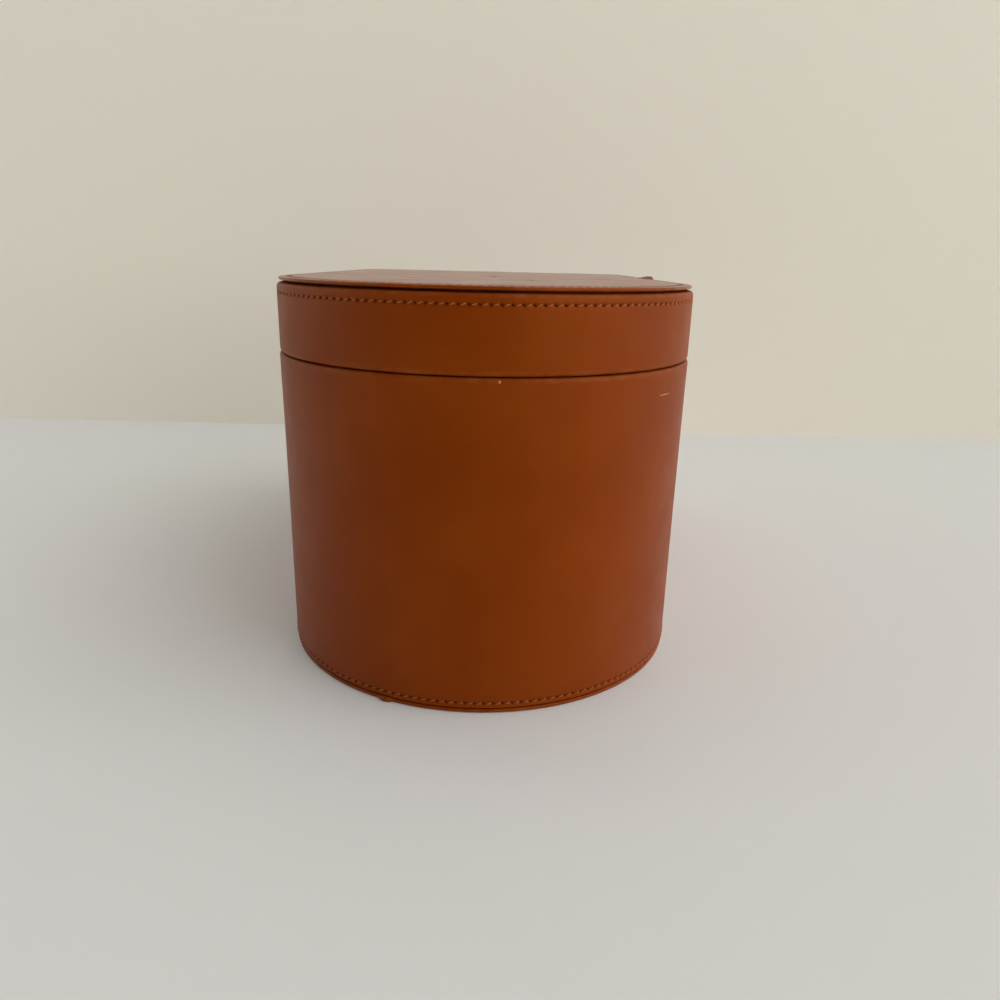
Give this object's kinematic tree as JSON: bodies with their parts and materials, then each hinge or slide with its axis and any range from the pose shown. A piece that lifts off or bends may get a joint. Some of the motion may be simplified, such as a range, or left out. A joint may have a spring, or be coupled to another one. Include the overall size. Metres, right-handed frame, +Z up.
{
  "type": "hair tool storage case",
  "caption": "Long leather-look storage case with a half-round nose and a flat back, a flush hinged lid with a pull tab, sewn panel edges and a lined tool bay.",
  "frame": {"origin": "on the underside of the base panel, under the middle of the case's width and length", "axes": "+Z up; the half-round nose points to -Y and the flat back to +Y; the hinge runs along the left side at -X and the pull tab is on the right side at +X"},
  "size_m": [0.1948, 0.3282, 0.1764],
  "materials": {
    "tan_leather": "satin",
    "sewing_thread": null,
    "greyboard": "matte",
    "velour_lining": "matte",
    "nickel_magnet": "satin"
  },
  "bodies": {
    "case_body": {"base_panel_cover": "tan_leather", "base_panel_board": "greyboard", "base_panel_thread": "sewing_thread", "body_wrap": "tan_leather", "body_foot_thread": "sewing_thread", "body_wall_board": "greyboard", "body_floor_board": "greyboard", "body_lining": "velour_lining", "floor_pad": "velour_lining", "rim_collar": "velour_lining", "body_magnet_front": "nickel_magnet", "body_magnet_rear": "nickel_magnet", "hinge_body_leaf": "tan_leather"},
    "lid": {"lid_wrap": "tan_leather", "lid_band_thread": "sewing_thread", "lid_wall_board": "greyboard", "lid_roof_board": "greyboard", "lid_lining": "velour_lining", "lid_roof_pad": "velour_lining", "lid_panel_cover": "tan_leather", "lid_panel_board": "greyboard", "lid_panel_thread": "sewing_thread", "lid_magnet_front": "nickel_magnet", "lid_magnet_rear": "nickel_magnet", "hinge_lid_leaf": "tan_leather", "pull_tab_root": "tan_leather"},
    "pull_tab": {"pull_tab_flap": "tan_leather"}
  },
  "joints": [
    {"name": "lid_hinge", "type": "hinge", "parent": "case_body", "child": "lid", "pos_m": [-0.0974, 0.044, 0.142], "axis": [0, -1, 0], "range_deg": [0, 175]},
    {"name": "tab_lift", "type": "hinge", "parent": "lid", "child": "pull_tab", "pos_m": [0.0974, 0.035, 0.1714], "axis": [0, -1, 0], "range_deg": [0, 100]}
  ]
}
